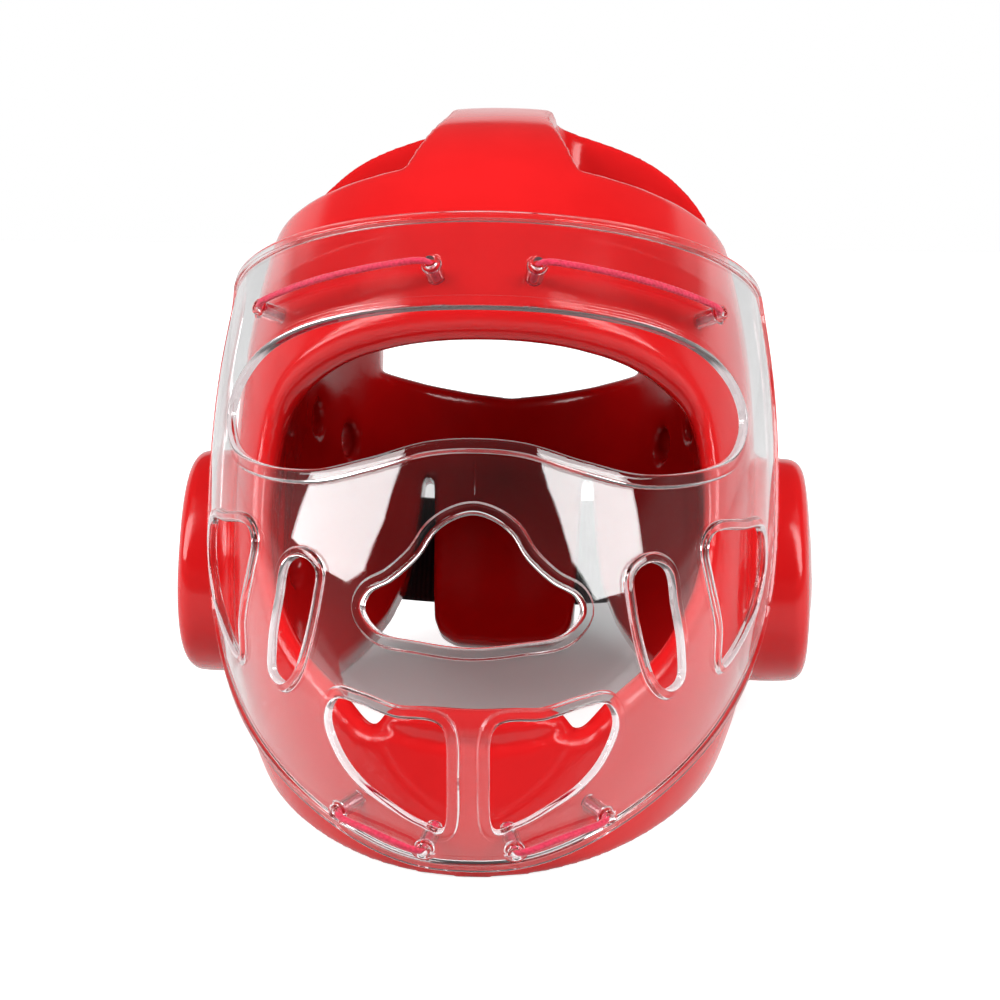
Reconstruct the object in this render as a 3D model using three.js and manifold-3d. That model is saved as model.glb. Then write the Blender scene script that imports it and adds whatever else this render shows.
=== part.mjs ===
// Head guard for contact sport: a moulded foam shell with ear pads, a clear face mask held off
// it on eight hollow posts, four lacing cords and an elastic strap across the back.
// It is shaped in the worn frame: X to the wearer's left, Y to the back, Z up, millimetres,
// zero at the middle of the head. It is then leaned back to stand on its lower rim.
import * as THREE from 'three';
import { mergeVertices } from 'three/addons/utils/BufferGeometryUtils.js';
import Module from 'manifold-3d';

const wasm = await Module();
wasm.setup();

// Stance on the table
const LEAN_BACK = 30; // degrees between the worn and the standing position
const RIM_DROP = 84; // head centre above the table once leaned back

// Foam shell
const WALL = 19;
const FOAM_SQUARENESS = 2.15;
const FOAM_RINGS = 16;
const FOAM_SEGMENTS = 36;
const FOAM_SECTIONS = [
  { z: 158, half: 10, front: 10, back: 30 },
  { z: 152.5, half: 34, front: -8, back: 52 },
  { z: 141, half: 59, front: -42, back: 76 },
  { z: 121, half: 78, front: -79, back: 93 },
  { z: 93, half: 87, front: -102, back: 107 },
  { z: 55, half: 95, front: -113, back: 114 },
  { z: 10, half: 98, front: -117, back: 113 },
  { z: -35, half: 97, front: -117, back: 103 },
  { z: -75, half: 92, front: -114, back: 92 },
  { z: -110, half: 79, front: -109, back: 82 },
  { z: -140, half: 60, front: -100, back: 70 },
  { z: -165, half: 36, front: -80, back: 50 },
];

// Half outline of the face opening, brow to chin
const FACE_OPENING = [
  { x: 0, z: 34.5 },
  { x: 30, z: 33.2 },
  { x: 54, z: 28.5 },
  { x: 70, z: 18.5 },
  { x: 76, z: 0 },
  { x: 75, z: -38 },
  { x: 63, z: -68 },
  { x: 46, z: -87 },
  { x: 34, z: -99 },
  { x: 29, z: -94 },
  { x: 0, z: -94 },
];
const FACE_OPENING_STEPS = 56;
const FACE_OPENING_DEPTH = -22; // y where the opening is cut to
const CUT_REACH = 200; // cuts run this far, well past the foam

// Crown: a strip from the forehead to the rear arch, open on both sides
const STRIP_BASE_HALF = 33;
const STRIP_CROWN_HALF = 19.5;
const STRIP_BASE_Y = -93;
const STRIP_WAIST = -74; // y about which the strip draws in
const STRIP_STRAIGHT = -50; // y where it has reached its crown width
const CURVE_STEPS = 8; // facets of each rounded stretch of an opening
const BAND_TOP = 101; // top edge of the forehead band beside the strip
const BAND_FALL = 0.11; // how much that edge falls for each millimetre outward
const ARCH_FRONT = 24; // y of the rear arch beside the strip
const ARCH_CORNER = 14;
const ARCH_SWEEP = 40; // how far the arch's edge comes forward by the end of the cut

// Back: an opening over the rear band, a tongue and two flaps under it
const REAR_OPENING = { half: 48, low: 69.5, top: 114, corner: 20, dip: 5, flare: 1.16 };
const SLIT_SIDES = [
  { z: 29, inner: 31, outer: 35 },
  { z: 0, inner: 29.5, outer: 37.5 },
  { z: -18, inner: 29, outer: 40.5 },
  { z: -32, inner: 28, outer: 46 },
  { z: -38, inner: 25.5, outer: 49.5 },
  { z: -42, inner: 19, outer: 52 },
  { z: -43, inner: -6, outer: 52.5 },
  { z: -70, inner: -6, outer: 72 },
];
const REAR_CUT_START = 45; // y where the rear cuts begin

// Oval vents along each side, by the way they face and their height
const SIDE_VENTS = [
  { turn: 90, z: 44 },
  { turn: 111, z: 40 },
  { turn: 128, z: 37 },
];
const VENT_HALF_WIDTH = 4.5;
const VENT_HALF_HEIGHT = 6.5;
const ROUND_SIDES = 12; // facets of vents and ear holes

// Ear pads: sections outward from the head, with a hole through the middle
const EAR_CENTRE = { y: 16, z: -22 };
const EAR_SECTIONS = [
  { out: 78, deep: 41, tall: 41 },
  { out: 96, deep: 40, tall: 42 },
  { out: 109, deep: 39, tall: 42 },
  { out: 114.5, deep: 37.5, tall: 40.5 },
  { out: 117.5, deep: 32, tall: 34 },
  { out: 119.5, deep: 18, tall: 19 },
];
const EAR_SQUARENESS = 2.3;
const EAR_LEAN = 0.02; // the pads reach a little further out at the bottom
const EAR_HOLE_RADIUS = 9;
const EAR_HOLE_START = 60; // x inside the head
const EAR_RINGS = 10;
const EAR_SEGMENTS = 24;

// Face mask: sections by height, with the side edges on one plane behind the face opening
const MASK_THICKNESS = 2.6;
const MASK_CUT = 3 * MASK_THICKNESS; // holes are cut this far to both sides
const MASK_SIDE_Y = -25;
const MASK_HALF_TURN = 90;
const MASK_COLUMNS = 26;
const MASK_ROWS = 8;
const MASK_SECTIONS = [
  { z: 80, half: 95, front: -114 },
  { z: 40, half: 101, front: -127 },
  { z: 0, half: 103, front: -137 },
  { z: -40, half: 101, front: -140.5 },
  { z: -80, half: 91, front: -139 },
  { z: -110, half: 80, front: -132 },
  { z: -135, half: 67, front: -118 },
  { z: -150, half: 57, front: -103 },
];
const MASK_TOP = 77;
const MASK_TOP_FALL = 4; // the top edge is this much lower at the sides
const MASK_CORNER = 10; // the corners round off by this much in the last degrees
const MASK_CORNER_TURN = 7;
const MASK_CHIN = -148;
const MASK_CHIN_RISE = 93; // the bottom edge rises this much to the sides
const MASK_CHIN_POWER = 2.4;

// Facets across each hole, and points on its smooth outline
const EYE_COLUMNS = 24;
const NOSE_COLUMNS = 14;
const HOLE_COLUMNS = 10;
const HOLE_OUTLINE_STEPS = 240;
const HOLE_END = 0.998; // a cut stops just short of the outline's ends

// Half outlines of the holes on the centre line, by turn from the front in degrees and height
const EYE_OPENING = [
  { turn: 0, z: 39 },
  { turn: 20, z: 38.5 },
  { turn: 38, z: 36 },
  { turn: 50, z: 31 },
  { turn: 58, z: 22 },
  { turn: 60.5, z: 13 },
  { turn: 57, z: 0 },
  { turn: 47, z: -10 },
  { turn: 32, z: -16.5 },
  { turn: 20, z: -14.5 },
  { turn: 9, z: -10 },
  { turn: 0, z: -9 },
];
const NOSE_HOLE = [
  { turn: 0, z: -35 },
  { turn: 3.6, z: -36.7 },
  { turn: 7, z: -41 },
  { turn: 10.2, z: -49 },
  { turn: 15.5, z: -56.5 },
  { turn: 20.5, z: -60.5 },
  { turn: 22, z: -65.5 },
  { turn: 19, z: -73 },
  { turn: 10, z: -77 },
  { turn: 0, z: -79 },
];

// Whole outlines of the holes that come in pairs
const MOUTH_HOLE = [
  { turn: 6, z: -104.5 },
  { turn: 17, z: -101 },
  { turn: 25.5, z: -96 },
  { turn: 31, z: -94 },
  { turn: 34, z: -100 },
  { turn: 32.5, z: -111.5 },
  { turn: 28.5, z: -120 },
  { turn: 21, z: -128 },
  { turn: 13.5, z: -133.5 },
  { turn: 7, z: -135.5 },
  { turn: 5.3, z: -120 },
];
const CHEEK_SLOT = [
  { turn: 35.5, z: -46 },
  { turn: 39.6, z: -47.5 },
  { turn: 42.7, z: -58.5 },
  { turn: 47.3, z: -73 },
  { turn: 49, z: -82 },
  { turn: 46, z: -86 },
  { turn: 41.5, z: -83 },
  { turn: 36.8, z: -72.5 },
  { turn: 33.2, z: -59 },
  { turn: 32.2, z: -51 },
];
const SIDE_HOLE = [
  { turn: 49.5, z: -37 },
  { turn: 51, z: -31.5 },
  { turn: 61, z: -26.5 },
  { turn: 70, z: -23 },
  { turn: 72.5, z: -30 },
  { turn: 72.5, z: -46 },
  { turn: 69, z: -61 },
  { turn: 62.5, z: -73 },
  { turn: 58.5, z: -61 },
  { turn: 52, z: -46 },
];

// Lacing: a post and a hole at both ends of each cord
const LACES = [
  { name: 'lace_top', ends: [{ turn: 54.5, z: 51 }, { turn: 10.7, z: 57 }] },
  { name: 'lace_bottom', ends: [{ turn: 39.8, z: -129 }, { turn: 14, z: -142 }] },
];
const POST_RADIUS = 4.6;
const POST_SIDES = 10;
const POST_REACH = 60; // the foam is looked for this far behind the mask
const LACE_HOLE_RADIUS = 3.3;
const CORD_RADIUS = 1.3;
const CORD_SIDES = 6;
const CORD_STEP = 3; // length of each straight stretch of a cord
const CORD_LIFT = 0.9; // the cord lies this far off the mask
const CORD_BEND = [ // out of a hole: hole radii along the mask, and share of its height over it
  { along: 0.2, up: 0.2 },
  { along: 1, up: 0.85 },
  { along: 2.2, up: 1 },
];
const CORD_SPAN = [0.25, 0.4, 0.5, 0.6, 0.75]; // shares of the way between its holes
const CORD_TAIL = 2.5; // the cord comes this far out inside the foam
const GAP = 0.35; // clearance between pieces that touch

// Elastic strap over the back
const STRAP = { low: -21, top: 24, from: 124, thickness: 2.2, lift: 0.8, columns: 22, rows: 2 };

const COLOURS = {
  foam: { color: 0xd8121a, roughness: 0.25, metalness: 0 },
  mask: { color: 0xe8eef0, roughness: 0.05, metalness: 0 },
  cord: { color: 0xe83a5c, roughness: 0.7, metalness: 0 },
  strap: { color: 0x111113, roughness: 0.85, metalness: 0 },
};

// Steps for finding the slope of a surface: table rows or radians, and millimetres or degrees
const ROW_STEP = 0.02;
const SLOPE_STEP = 0.5;

const radians = THREE.MathUtils.degToRad;
const clamp = THREE.MathUtils.clamp;

// A value of one column of a section table at a fractional row, on a Catmull-Rom curve
function columnAt(rows, at, column) {
  const first = clamp(Math.floor(at), 0, rows.length - 2);
  const t = at - first;
  const [a, b, c, d] = [-1, 0, 1, 2].map((k) => rows[clamp(first + k, 0, rows.length - 1)][column]);
  return b + 0.5 * t * (c - a + t * (2 * a - 5 * b + 4 * c - d + t * (3 * (b - c) + d - a)));
}

// The fractional row of a section table whose height is z, for rows that go down
function rowAtHeight(rows, z) {
  let low = 0;
  let high = rows.length - 1;
  for (let step = 0; step < 40; step += 1) {
    const middle = (low + high) / 2;
    if (columnAt(rows, middle, 'z') > z) {
      low = middle;
    } else {
      high = middle;
    }
  }
  return (low + high) / 2;
}

function signedPower(value, power) {
  return Math.sign(value) * Math.abs(value) ** power;
}

// The unit normal of a surface pointAt(down, turn), outward where turn grows to the left
function normalAt(pointAt, down, turn, downStep, turnStep) {
  const along = pointAt(down + downStep, turn).sub(pointAt(down - downStep, turn));
  const around = pointAt(down, turn + turnStep).sub(pointAt(down, turn - turnStep));
  return along.cross(around).normalize();
}

// Foam surface at a fractional table row, turn in radians from the front
function foamPoint(row, turn) {
  const half = columnAt(FOAM_SECTIONS, row, 'half');
  const front = columnAt(FOAM_SECTIONS, row, 'front');
  const back = columnAt(FOAM_SECTIONS, row, 'back');
  const across = signedPower(Math.sin(turn), 2 / FOAM_SQUARENESS);
  const ahead = signedPower(Math.cos(turn), 2 / FOAM_SQUARENESS);
  const y = (front + back) / 2 - ahead * (back - front) / 2;
  return new THREE.Vector3(half * across, y, columnAt(FOAM_SECTIONS, row, 'z'));
}

function foamOffset(row, turn, outward) {
  const inside = clamp(row, ROW_STEP, FOAM_SECTIONS.length - 1 - ROW_STEP);
  const normal = normalAt(foamPoint, inside, turn, ROW_STEP, ROW_STEP);
  return foamPoint(row, turn).addScaledVector(normal, outward);
}

// Mask surface by height and turn in degrees
function maskPoint(z, turn) {
  const row = rowAtHeight(MASK_SECTIONS, z);
  const half = columnAt(MASK_SECTIONS, row, 'half');
  const front = columnAt(MASK_SECTIONS, row, 'front');
  const angle = radians(turn);
  const y = MASK_SIDE_Y + (front - MASK_SIDE_Y) * Math.cos(angle);
  return new THREE.Vector3(half * Math.sin(angle), y, z);
}

function maskNormal(z, turn) {
  const inside = clamp(z, MASK_CHIN - SLOPE_STEP, MASK_TOP + SLOPE_STEP);
  return normalAt(maskPoint, inside, turn, -SLOPE_STEP, SLOPE_STEP);
}

function maskOffset(z, turn, outward) {
  return maskPoint(z, turn).addScaledVector(maskNormal(z, turn), outward);
}

function meshGeometry(positions, index) {
  const geometry = new THREE.BufferGeometry();
  geometry.setAttribute('position', new THREE.Float32BufferAttribute(positions, 3));
  geometry.setIndex(index);
  return geometry;
}

// A closed solid of rings around a vertical axis, pointAt(0..1 downward, turn in radians)
function ringSolid(pointAt, rings, segments) {
  const points = [];
  const index = [];
  for (let r = 0; r <= rings; r += 1) {
    for (let s = 0; s < segments; s += 1) {
      points.push(pointAt(r / rings, 2 * Math.PI * s / segments));
    }
  }
  const ringCentre = (r) => {
    const ring = points.slice(r * segments, (r + 1) * segments);
    return ring.reduce((sum, p) => sum.add(p), new THREE.Vector3()).divideScalar(segments);
  };
  const top = points.push(ringCentre(0)) - 1;
  const bottom = points.push(ringCentre(rings)) - 1;
  for (let s = 0; s < segments; s += 1) {
    const next = (s + 1) % segments;
    const last = rings * segments;
    index.push(top, s, next, bottom, last + next, last + s);
    for (let r = 0; r < rings; r += 1) {
      const a = r * segments + s;
      const b = r * segments + next;
      index.push(a, a + segments, b, b, a + segments, b + segments);
    }
  }
  return toSolid(meshGeometry(points.flatMap((p) => p.toArray()), index));
}

// A closed sheet between two faces, each faceAt(0..1 across, 0..1 down)
function sheetSolid(outerAt, innerAt, columns, rows) {
  const positions = [];
  const index = [];
  const at = (r, c) => r * (columns + 1) + c;
  const inner = (rows + 1) * (columns + 1);
  for (const faceAt of [outerAt, innerAt]) {
    for (let r = 0; r <= rows; r += 1) {
      for (let c = 0; c <= columns; c += 1) {
        positions.push(...faceAt(c / columns, r / rows).toArray());
      }
    }
  }
  for (let r = 0; r < rows; r += 1) {
    for (let c = 0; c < columns; c += 1) {
      const [a, b, d, e] = [at(r, c), at(r, c + 1), at(r + 1, c), at(r + 1, c + 1)];
      index.push(a, d, b, b, d, e);
      index.push(inner + a, inner + b, inner + d, inner + b, inner + e, inner + d);
    }
  }
  const edge = [];
  for (let c = 0; c < columns; c += 1) {
    edge.push(at(0, c));
  }
  for (let r = 0; r < rows; r += 1) {
    edge.push(at(r, columns));
  }
  for (let c = columns; c > 0; c -= 1) {
    edge.push(at(rows, c));
  }
  for (let r = rows; r > 0; r -= 1) {
    edge.push(at(r, 0));
  }
  edge.forEach((here, k) => {
    const next = edge[(k + 1) % edge.length];
    index.push(here, next, inner + next, here, inner + next, inner + here);
  });
  return toSolid(meshGeometry(positions, index));
}

function toSolid(geometry) {
  const bare = geometry.clone();
  bare.deleteAttribute('normal');
  bare.deleteAttribute('uv');
  const merged = mergeVertices(bare, 1e-4);
  const vertProperties = new Float32Array(merged.attributes.position.array);
  const triVerts = new Uint32Array(merged.index.array);
  return new wasm.Manifold(new wasm.Mesh({ numProp: 3, vertProperties, triVerts }));
}

function toGeometry(solid) {
  const mesh = solid.getMesh();
  const geometry = meshGeometry(Array.from(mesh.vertProperties), Array.from(mesh.triVerts));
  geometry.computeVertexNormals();
  return geometry;
}

// A closed smooth outline through the points of a table
function smoothOutline(points, count) {
  const corners = points.map((p) => new THREE.Vector3(p.x, p.y, 0));
  const curve = new THREE.CatmullRomCurve3(corners, true, 'centripetal');
  return curve.getSpacedPoints(count).slice(0, count).map((p) => new THREE.Vector2(p.x, p.y));
}

// A prism of an outline in x and z, from startY for the given length toward the front,
// where it may be wider
function frontPrism(outline, startY, length, flare = 1) {
  const options = { depth: length, bevelEnabled: false };
  const geometry = new THREE.ExtrudeGeometry(new THREE.Shape(outline), options);
  const position = geometry.attributes.position;
  for (let i = 0; i < position.count; i += 1) {
    position.setX(i, position.getX(i) * (1 + (flare - 1) * position.getZ(i) / length));
  }
  geometry.rotateX(Math.PI / 2);
  geometry.translate(0, startY, 0);
  return toSolid(geometry);
}

// A straight round or oval bar between two points
function bar(from, to, radius, flatten = 1, sides = ROUND_SIDES) {
  const along = new THREE.Vector3().subVectors(to, from);
  const geometry = new THREE.CylinderGeometry(radius, radius, along.length(), sides);
  geometry.scale(flatten, 1, 1);
  const turn = new THREE.Quaternion().setFromUnitVectors(new THREE.Vector3(0, 1, 0), along.normalize());
  geometry.applyQuaternion(turn);
  const middle = new THREE.Vector3().addVectors(from, to).divideScalar(2);
  geometry.translate(middle.x, middle.y, middle.z);
  return toSolid(geometry);
}

function faceOpening() {
  const right = FACE_OPENING.map((p) => ({ x: p.x, y: p.z }));
  const left = right.slice(1, -1).reverse().map((p) => ({ x: -p.x, y: p.y }));
  const outline = smoothOutline([...right, ...left], FACE_OPENING_STEPS);
  return frontPrism(outline, FACE_OPENING_DEPTH, CUT_REACH);
}

// The open area between the crown strip, the forehead band and the rear arch on one side
function crownOpening(side) {
  const edge = new THREE.Path();
  edge.moveTo(STRIP_BASE_HALF, -CUT_REACH);
  edge.lineTo(STRIP_BASE_HALF, STRIP_BASE_Y);
  edge.quadraticCurveTo(STRIP_CROWN_HALF, STRIP_WAIST, STRIP_CROWN_HALF, STRIP_STRAIGHT);
  edge.lineTo(STRIP_CROWN_HALF, ARCH_FRONT - ARCH_CORNER);
  edge.quadraticCurveTo(STRIP_CROWN_HALF, ARCH_FRONT, STRIP_CROWN_HALF + ARCH_CORNER, ARCH_FRONT);
  edge.quadraticCurveTo(CUT_REACH / 2, ARCH_FRONT, CUT_REACH, ARCH_FRONT - ARCH_SWEEP);
  edge.lineTo(CUT_REACH, -CUT_REACH);
  const outline = edge.getPoints(CURVE_STEPS).map((p) => new THREE.Vector2(side * p.x, p.y));
  const options = { depth: CUT_REACH, bevelEnabled: false };
  const geometry = new THREE.ExtrudeGeometry(new THREE.Shape(outline), options);
  const position = geometry.attributes.position;
  for (let i = 0; i < position.count; i += 1) {
    const fall = BAND_FALL * (Math.abs(position.getX(i)) - STRIP_BASE_HALF);
    position.setZ(i, position.getZ(i) + BAND_TOP - fall);
  }
  return toSolid(geometry);
}

function rearOpening() {
  const { half, low, top, corner, dip, flare } = REAR_OPENING;
  const shape = new THREE.Shape();
  shape.moveTo(0, low - dip);
  shape.lineTo(half, low);
  shape.lineTo(half, top - corner);
  shape.quadraticCurveTo(half, top, half - corner, top);
  shape.lineTo(corner - half, top);
  shape.quadraticCurveTo(-half, top, -half, top - corner);
  shape.lineTo(-half, low);
  const length = CUT_REACH - REAR_CUT_START;
  return frontPrism(shape.getPoints(CURVE_STEPS), CUT_REACH, length, flare);
}

// A slit beside the rear tongue, wider toward the rim
function rearSlit(side) {
  const inner = SLIT_SIDES.map((row) => new THREE.Vector2(side * row.inner, row.z));
  const outer = SLIT_SIDES.map((row) => new THREE.Vector2(side * row.outer, row.z));
  return frontPrism([...inner, ...outer.reverse()], CUT_REACH, CUT_REACH - REAR_CUT_START);
}

function sideVent({ turn, z }, side) {
  const row = rowAtHeight(FOAM_SECTIONS, z);
  const angle = radians(side * turn);
  const outside = foamOffset(row, angle, WALL / 2);
  const inside = foamOffset(row, angle, -2 * WALL);
  inside.z = z;
  outside.z = z;
  return bar(inside, outside, VENT_HALF_HEIGHT, VENT_HALF_WIDTH / VENT_HALF_HEIGHT);
}

function earPad(side) {
  const sections = EAR_SECTIONS;
  const pointAt = (u, turn) => {
    const row = u * (sections.length - 1);
    const across = signedPower(Math.sin(turn), 2 / EAR_SQUARENESS) * columnAt(sections, row, 'deep');
    const up = signedPower(Math.cos(turn), 2 / EAR_SQUARENESS) * columnAt(sections, row, 'tall');
    const out = columnAt(sections, row, 'out') - EAR_LEAN * up;
    return new THREE.Vector3(side * out, EAR_CENTRE.y + side * across, EAR_CENTRE.z + up);
  };
  return ringSolid(pointAt, EAR_RINGS, EAR_SEGMENTS);
}

function earHole(side) {
  const inside = new THREE.Vector3(side * EAR_HOLE_START, EAR_CENTRE.y, EAR_CENTRE.z);
  const outside = new THREE.Vector3(side * CUT_REACH, EAR_CENTRE.y, EAR_CENTRE.z);
  return bar(inside, outside, EAR_HOLE_RADIUS);
}

// The space under the table top, as seen from the worn position
function underTable() {
  const geometry = new THREE.BoxGeometry(4 * CUT_REACH, 4 * CUT_REACH, CUT_REACH);
  geometry.translate(0, 0, -CUT_REACH / 2 - RIM_DROP);
  geometry.rotateX(radians(LEAN_BACK));
  return toSolid(geometry);
}

// Each lacing point with its side of the head
function lacingPoints() {
  return [1, -1].flatMap((side) => LACES.flatMap((lace) => lace.ends.map(
    ({ turn, z }) => ({ z, turn: side * turn }))));
}

// How far in from the mask the outer face of the foam lies along the mask's normal
function foamDepth(z, turn) {
  const start = maskPoint(z, turn);
  const inward = maskNormal(z, turn).negate();
  let best = { off: Infinity, depth: 0 };
  for (let depth = 0; depth < POST_REACH; depth += 0.1) {
    const p = start.clone().addScaledVector(inward, depth);
    const row = rowAtHeight(FOAM_SECTIONS, p.z);
    const half = columnAt(FOAM_SECTIONS, row, 'half');
    const front = columnAt(FOAM_SECTIONS, row, 'front');
    const back = columnAt(FOAM_SECTIONS, row, 'back');
    const across = Math.abs(p.x / half) ** FOAM_SQUARENESS;
    const ahead = Math.abs((p.y - (front + back) / 2) / ((back - front) / 2)) ** FOAM_SQUARENESS;
    const off = Math.abs(across + ahead - 1);
    if (off < best.off) {
      best = { off, depth };
    }
  }
  return best.depth;
}

// The closed head form, its surface moved outward by the given amount
function foamBody(outward) {
  const last = FOAM_SECTIONS.length - 1;
  return ringSolid((u, turn) => foamOffset(u * last, turn, outward), FOAM_RINGS, FOAM_SEGMENTS);
}

function foamShell() {
  let solid = foamBody(0);
  for (const side of [1, -1]) {
    solid = solid.add(earPad(side));
  }
  solid = solid.subtract(foamBody(-WALL));
  const cuts = [faceOpening(), rearOpening(), underTable()];
  for (const side of [1, -1]) {
    cuts.push(crownOpening(side), rearSlit(side), earHole(side));
    cuts.push(...SIDE_VENTS.map((vent) => sideVent(vent, side)));
  }
  for (const { z, turn } of lacingPoints()) {
    const end = maskOffset(z, turn, -foamDepth(z, turn) - 2 * WALL);
    cuts.push(bar(maskOffset(z, turn, 0), end, CORD_RADIUS + 2 * GAP, 1, CORD_SIDES));
  }
  return cuts.reduce((body, cut) => body.subtract(cut), solid);
}

// The highest and lowest point of an outline at one turn
function spanAt(outline, turn) {
  const heights = [];
  outline.forEach((p, k) => {
    const next = outline[(k + 1) % outline.length];
    if ((p.x <= turn) !== (next.x <= turn)) {
      heights.push(p.y + (next.y - p.y) * (turn - p.x) / (next.x - p.x));
    }
  });
  return { high: Math.max(...heights), low: Math.min(...heights) };
}

// A cutter through the mask for a hole whose outline is given by turn and height
function maskCutter(points, columns) {
  const outline = smoothOutline(points.map((p) => ({ x: p.turn, y: p.z })), HOLE_OUTLINE_STEPS);
  const turns = outline.map((p) => p.x);
  const middle = (Math.max(...turns) + Math.min(...turns)) / 2;
  const reach = (Math.max(...turns) - Math.min(...turns)) / 2 * HOLE_END;
  const faceAt = (offset) => (u, v) => {
    const turn = middle - reach * Math.cos(Math.PI * u);
    const { high, low } = spanAt(outline, turn);
    return maskOffset(high + (low - high) * v, turn, offset);
  };
  return sheetSolid(faceAt(MASK_CUT), faceAt(-MASK_CUT), columns, 1);
}

function mirrored(points) {
  return points.map(({ turn, z }) => ({ turn: -turn, z }));
}

// A half outline and its mirror image, joined on the centre line
function bothHalves(half) {
  return [...half, ...mirrored(half).slice(1, -1).reverse()];
}

// How far a corner of the mask has rounded off at this turn, 0 to 1
function cornerRound(turn) {
  const fromCorner = (MASK_HALF_TURN - Math.abs(turn)) / MASK_CORNER_TURN;
  return 1 - Math.sqrt(1 - (1 - clamp(fromCorner, 0, 1)) ** 2);
}

function maskTop(turn) {
  return MASK_TOP - MASK_TOP_FALL * (turn / MASK_HALF_TURN) ** 2 - MASK_CORNER * cornerRound(turn);
}

function maskBottom(turn) {
  const rise = MASK_CHIN_RISE * Math.abs(turn / MASK_HALF_TURN) ** MASK_CHIN_POWER;
  return MASK_CHIN + rise + MASK_CORNER * cornerRound(turn);
}

function faceMask() {
  const faceAt = (offset) => (u, v) => {
    const turn = MASK_HALF_TURN * (2 * u - 1);
    const z = maskTop(turn) + (maskBottom(turn) - maskTop(turn)) * v;
    return maskOffset(z, turn, offset);
  };
  const half = MASK_THICKNESS / 2;
  let solid = sheetSolid(faceAt(half), faceAt(-half), MASK_COLUMNS, MASK_ROWS);
  const foamAndGap = foamBody(GAP);
  for (const { z, turn } of lacingPoints()) {
    const foot = maskOffset(z, turn, -foamDepth(z, turn) - POST_RADIUS);
    const post = bar(foot, maskOffset(z, turn, 0), POST_RADIUS, 1, POST_SIDES);
    solid = solid.add(post.subtract(foamAndGap));
  }
  const cuts = [
    maskCutter(bothHalves(EYE_OPENING), EYE_COLUMNS),
    maskCutter(bothHalves(NOSE_HOLE), NOSE_COLUMNS),
  ];
  for (const hole of [MOUTH_HOLE, CHEEK_SLOT, SIDE_HOLE]) {
    cuts.push(maskCutter(hole, HOLE_COLUMNS), maskCutter(mirrored(hole), HOLE_COLUMNS));
  }
  for (const { z, turn } of lacingPoints()) {
    const foot = maskOffset(z, turn, -foamDepth(z, turn) - POST_RADIUS);
    cuts.push(bar(foot, maskOffset(z, turn, MASK_CUT), LACE_HOLE_RADIUS, 1, POST_SIDES));
  }
  return cuts.reduce((body, cut) => body.subtract(cut), solid);
}

// A cord from inside the foam, out through one post, along the mask and in through the next
function laceCord(ends, side) {
  const [a, b] = ends.map(
    ({ turn, z }) => ({ turn: side * turn, z, depth: foamDepth(z, side * turn) }));
  const lie = MASK_THICKNESS / 2 + CORD_RADIUS + CORD_LIFT;
  const between = (t, offset) => maskOffset(
    a.z + (b.z - a.z) * t, a.turn + (b.turn - a.turn) * t, offset);
  const reach = between(0, 0).distanceTo(between(1, 0));
  const bend = LACE_HOLE_RADIUS / reach;
  const inwards = (end) => [
    maskOffset(end.z, end.turn, -end.depth - WALL - CORD_TAIL),
    maskOffset(end.z, end.turn, -end.depth / 2),
  ];
  const points = [
    ...inwards(a),
    ...CORD_BEND.map(({ along, up }) => between(along * bend, up * lie)),
    ...CORD_SPAN.map((t) => between(t, lie)),
    ...CORD_BEND.map(({ along, up }) => between(1 - along * bend, up * lie)).reverse(),
    ...inwards(b).reverse(),
  ];
  const path = new THREE.CatmullRomCurve3(points, false, 'centripetal');
  const section = new THREE.Shape();
  section.absarc(0, 0, CORD_RADIUS, 0, 2 * Math.PI);
  const steps = Math.round(path.getLength() / CORD_STEP);
  const round = new THREE.Shape(section.getSpacedPoints(CORD_SIDES).slice(0, CORD_SIDES));
  return toSolid(new THREE.ExtrudeGeometry(round, { steps, extrudePath: path, bevelEnabled: false }));
}

function rearStrap() {
  const { low, top, from, thickness, lift, columns, rows } = STRAP;
  const faceAt = (offset) => (u, v) => {
    const turn = from + (360 - 2 * from) * u;
    const row = rowAtHeight(FOAM_SECTIONS, top + (low - top) * v);
    return foamOffset(row, radians(turn), offset);
  };
  return sheetSolid(faceAt(lift + thickness), faceAt(lift), columns, rows);
}

function addPiece(group, name, solid, look) {
  const mesh = new THREE.Mesh(toGeometry(solid), new THREE.MeshStandardMaterial(look));
  mesh.name = name;
  group.add(mesh);
}

const guard = new THREE.Group();
addPiece(guard, 'foam_shell', foamShell(), COLOURS.foam);
addPiece(guard, 'face_mask', faceMask(), COLOURS.mask);
for (const { name, ends } of LACES) {
  addPiece(guard, `${name}_left`, laceCord(ends, 1), COLOURS.cord);
  addPiece(guard, `${name}_right`, laceCord(ends, -1), COLOURS.cord);
}
addPiece(guard, 'rear_strap', rearStrap(), COLOURS.strap);
guard.rotation.x = -radians(LEAN_BACK);

// Stand the guard on z = 0 with the middle of its box over the origin
const standing = new THREE.Group();
standing.add(guard);
const box = new THREE.Box3().setFromObject(standing, true);
guard.position.set(0, -(box.min.y + box.max.y) / 2, -box.min.z);

export default standing;
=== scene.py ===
"""Looks of a foam sparring head guard with a clear face mask laced to its front.

Shapes are worked out in millimetres in the worn frame (X to the wearer's left, Y to the back, Z up,
zero at the middle of the head), then leaned back into the row frame, in metres.
"""
import math

import bpy
import numpy as np
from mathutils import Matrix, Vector
from mathutils.geometry import delaunay_2d_cdt


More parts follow.
